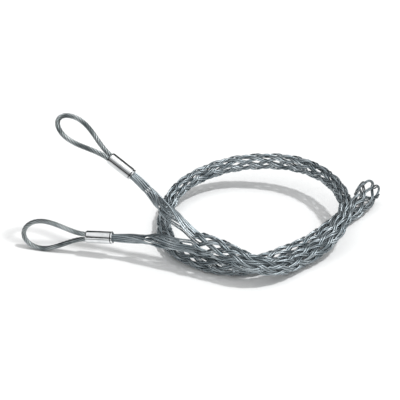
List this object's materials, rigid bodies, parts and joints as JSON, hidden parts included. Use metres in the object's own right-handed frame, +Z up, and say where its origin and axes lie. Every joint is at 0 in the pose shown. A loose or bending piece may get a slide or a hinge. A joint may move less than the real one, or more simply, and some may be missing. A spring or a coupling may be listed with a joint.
{
  "type": "cable pulling grip",
  "caption": "Woven steel wire tube that tightens on a cable end when pulled, in one loose turn, with a looped open mouth and two rope eyes in pressed aluminium ferrules.",
  "frame": {"origin": "on the surface the grip lies on, below the middle of its bounding box", "axes": "+X from the eyes to the open mouth, +Y away from the side where the woven tube's head crosses the turn, +Z up"},
  "size_m": [0.397, 0.2392, 0.145],
  "materials": {
    "galvanised_steel": "galvanised, dull",
    "pressed_aluminium": "pressed, satin"
  },
  "bodies": {
    "root": {"strand_01": "galvanised_steel", "strand_02": "galvanised_steel", "strand_03": "galvanised_steel", "strand_04": "galvanised_steel", "strand_05": "galvanised_steel", "strand_06": "galvanised_steel", "strand_07": "galvanised_steel", "strand_08": "galvanised_steel", "strand_09": "galvanised_steel", "strand_10": "galvanised_steel", "strand_11": "galvanised_steel", "strand_12": "galvanised_steel", "eye_rope_lower": "galvanised_steel", "eye_rope_upper": "galvanised_steel", "ferrule_lower": "pressed_aluminium", "ferrule_upper": "pressed_aluminium"}
  },
  "joints": []
}
